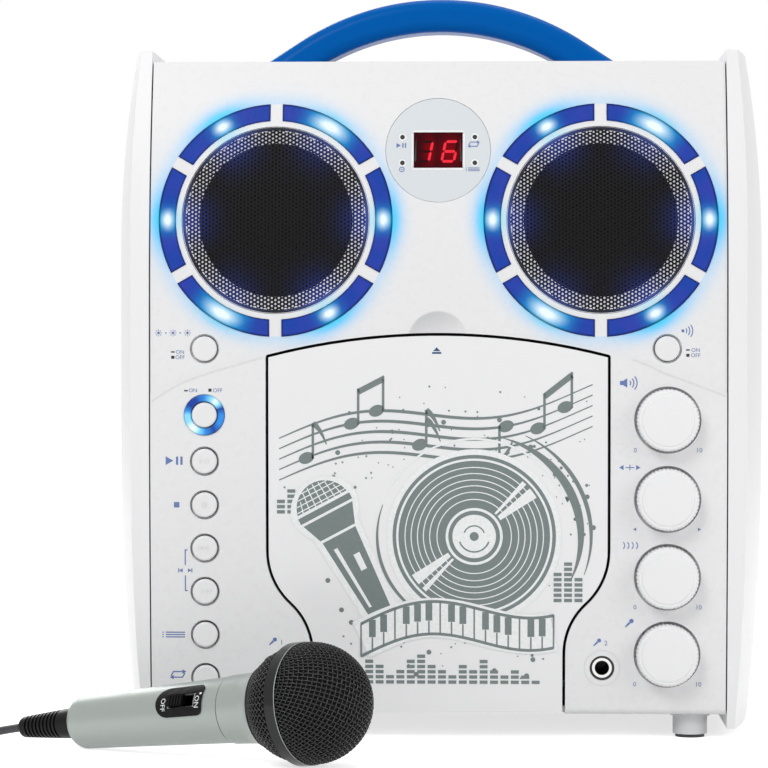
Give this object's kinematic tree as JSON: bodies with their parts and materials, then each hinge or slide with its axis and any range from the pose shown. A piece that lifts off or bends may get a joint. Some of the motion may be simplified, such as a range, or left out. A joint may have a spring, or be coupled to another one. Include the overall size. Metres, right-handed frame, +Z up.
{
  "type": "karaoke machine with disc tray",
  "caption": "Portable karaoke console with a drop-down disc door, lit speakers, digit display, push buttons, rotary knobs, arched carrying handle and a corded hand microphone.",
  "frame": {"origin": "on the floor, at the centre of the four feet", "axes": "+Z up, +X to the right seen from the front, the front with the disc door faces -Y"},
  "size_m": [0.435, 0.3294, 0.3342],
  "materials": {
    "white_shell": "gloss",
    "side_shell": "gloss",
    "blue_handle": "gloss",
    "grey_foot": "satin",
    "rubber_pad": "matte",
    "zinc_screw": "satin",
    "black_grille": "satin",
    "blue_lens": "gloss",
    "driver_steel": "satin",
    "cone_paper": "matte",
    "circuit_board": "satin",
    "display_plate": "gloss",
    "display_window": "gloss",
    "black_well": "satin",
    "deck_steel": "satin",
    "white_door": "gloss",
    "grey_clamp": "satin",
    "white_button": "gloss",
    "white_knob": "satin",
    "blue_ring": "gloss",
    "black_socket": "satin",
    "socket_nut": "polished",
    "nylon_gear": "satin",
    "optical_head": "satin",
    "transformer_steel": "satin",
    "mic_silver": "satin",
    "mic_mesh": "satin",
    "mic_black": "satin",
    "cord_rubber": "satin",
    "plug_metal": "polished"
  },
  "bodies": {
    "cabinet": {"front_panel": "white_shell", "rear_cabinet": "white_shell", "left_side_panel": "side_shell", "right_side_panel": "side_shell", "carry_handle": "blue_handle", "feet": "grey_foot", "foot_pads": "rubber_pad", "cabinet_screws": "zinc_screw", "light_boards": "circuit_board", "display_plate": "display_plate", "display_window": "display_window", "display_module": "circuit_board", "power_light_ring": "blue_ring", "disc_well": "black_well", "disc_deck": "deck_steel", "deck_motors": "deck_steel", "sled_rails": "deck_steel", "door_hinge_pins": "deck_steel", "door_latch": "black_well", "main_board": "circuit_board", "power_transformer": "transformer_steel", "control_boards": "circuit_board", "mic_jacks": "black_socket", "jack_nuts": "socket_nut", "rear_sockets": "black_socket", "speaker_grille_left": "black_grille", "light_lenses_left": "blue_lens", "speaker_driver_left": "driver_steel", "speaker_grille_right": "black_grille", "light_lenses_right": "blue_lens", "speaker_driver_right": "driver_steel"},
    "door": {"disc_door": "white_door", "disc_clamp": "grey_clamp"},
    "turntable": {"turntable": "black_well"},
    "optical_sled": {"optical_sled": "optical_head"},
    "sled_gear": {"sled_gear": "nylon_gear"},
    "microphone": {"mic_handle": "mic_silver", "mic_grille": "mic_mesh", "mic_collar": "mic_black", "mic_capsule": "black_socket", "mic_strain_relief": "mic_black", "mic_cord": "cord_rubber", "mic_cord_coil": "cord_rubber", "mic_plug": "plug_metal"},
    "mic_switch": {"mic_switch": "mic_black"},
    "speaker_cone_left": {"speaker_cone_left": "cone_paper"},
    "speaker_cone_right": {"speaker_cone_right": "cone_paper"},
    "play_button": {"play_button": "white_button"},
    "stop_button": {"stop_button": "white_button"},
    "skip_back_button": {"skip_back_button": "white_button"},
    "skip_forward_button": {"skip_forward_button": "white_button"},
    "program_button": {"program_button": "white_button"},
    "repeat_button": {"repeat_button": "white_button"},
    "disco_light_button": {"disco_light_button": "white_button"},
    "power_button": {"power_button": "white_button"},
    "avc_button": {"avc_button": "white_button"},
    "master_volume_knob": {"master_volume_knob": "white_knob"},
    "balance_knob": {"balance_knob": "white_knob"},
    "echo_knob": {"echo_knob": "white_knob"},
    "mic_volume_knob": {"mic_volume_knob": "white_knob"}
  },
  "joints": [
    {"name": "disc_door_hinge", "type": "hinge", "parent": "cabinet", "child": "door", "pos_m": [0, -0.085, 0.018], "axis": [1, 0, 0], "range_deg": [0, 45]},
    {"name": "turntable_spin", "type": "hinge", "parent": "cabinet", "child": "turntable", "pos_m": [0, -0.079, 0.112], "axis": [0, 1, 0], "continuous": true},
    {"name": "sled_slide", "type": "slide", "parent": "cabinet", "child": "optical_sled", "axis": [1, 0, 0], "range_m": [0, 0.033]},
    {"name": "sled_gear_turn", "type": "hinge", "parent": "cabinet", "child": "sled_gear", "pos_m": [0.033, -0.06, 0.084], "axis": [0, 1, 0], "range_deg": [0, 320]},
    {"name": "master_volume_turn", "type": "hinge", "parent": "cabinet", "child": "master_volume_knob", "pos_m": [0.101, -0.1, 0.1414], "axis": [0, -1, 0], "range_deg": [-150, 150]},
    {"name": "balance_turn", "type": "hinge", "parent": "cabinet", "child": "balance_knob", "pos_m": [0.101, -0.1, 0.1065], "axis": [0, -1, 0], "range_deg": [-150, 150]},
    {"name": "echo_turn", "type": "hinge", "parent": "cabinet", "child": "echo_knob", "pos_m": [0.101, -0.1, 0.0721], "axis": [0, -1, 0], "range_deg": [-150, 150]},
    {"name": "mic_volume_turn", "type": "hinge", "parent": "cabinet", "child": "mic_volume_knob", "pos_m": [0.101, -0.1, 0.0378], "axis": [0, -1, 0], "range_deg": [-150, 150]},
    {"name": "play_press", "type": "slide", "parent": "cabinet", "child": "play_button", "axis": [0, 1, 0], "range_m": [0, 0.0015], "stiffness_N_per_m": 400},
    {"name": "stop_press", "type": "slide", "parent": "cabinet", "child": "stop_button", "axis": [0, 1, 0], "range_m": [0, 0.0015], "stiffness_N_per_m": 400},
    {"name": "skip_back_press", "type": "slide", "parent": "cabinet", "child": "skip_back_button", "axis": [0, 1, 0], "range_m": [0, 0.0015], "stiffness_N_per_m": 400},
    {"name": "skip_forward_press", "type": "slide", "parent": "cabinet", "child": "skip_forward_button", "axis": [0, 1, 0], "range_m": [0, 0.0015], "stiffness_N_per_m": 400},
    {"name": "program_press", "type": "slide", "parent": "cabinet", "child": "program_button", "axis": [0, 1, 0], "range_m": [0, 0.0015], "stiffness_N_per_m": 400},
    {"name": "repeat_press", "type": "slide", "parent": "cabinet", "child": "repeat_button", "axis": [0, 1, 0], "range_m": [0, 0.0015], "stiffness_N_per_m": 400},
    {"name": "disco_light_press", "type": "slide", "parent": "cabinet", "child": "disco_light_button", "axis": [0, 1, 0], "range_m": [0, 0.003], "stiffness_N_per_m": 400},
    {"name": "power_press", "type": "slide", "parent": "cabinet", "child": "power_button", "axis": [0, 1, 0], "range_m": [0, 0.003], "stiffness_N_per_m": 400},
    {"name": "avc_press", "type": "slide", "parent": "cabinet", "child": "avc_button", "axis": [0, 1, 0], "range_m": [0, 0.003], "stiffness_N_per_m": 400},
    {"name": "cone_left_swing", "type": "slide", "parent": "cabinet", "child": "speaker_cone_left", "axis": [0, 1, 0], "range_m": [-0.0015, 0.0015], "stiffness_N_per_m": 1500},
    {"name": "cone_right_swing", "type": "slide", "parent": "cabinet", "child": "speaker_cone_right", "axis": [0, 1, 0], "range_m": [-0.0015, 0.0015], "stiffness_N_per_m": 1500},
    {"name": "microphone_lift", "type": "slide", "parent": "cabinet", "child": "microphone", "axis": [0, -0.6, 0.8], "range_m": [0, 0.2]},
    {"name": "mic_switch_slide", "type": "slide", "parent": "microphone", "child": "mic_switch", "axis": [0.849, -0.5131, 0.1259], "range_m": [0, 0.005]}
  ],
  "couplings": [
    {"joint": "sled_gear_turn", "follows": "sled_slide", "rad_per_m": 166.67}
  ]
}
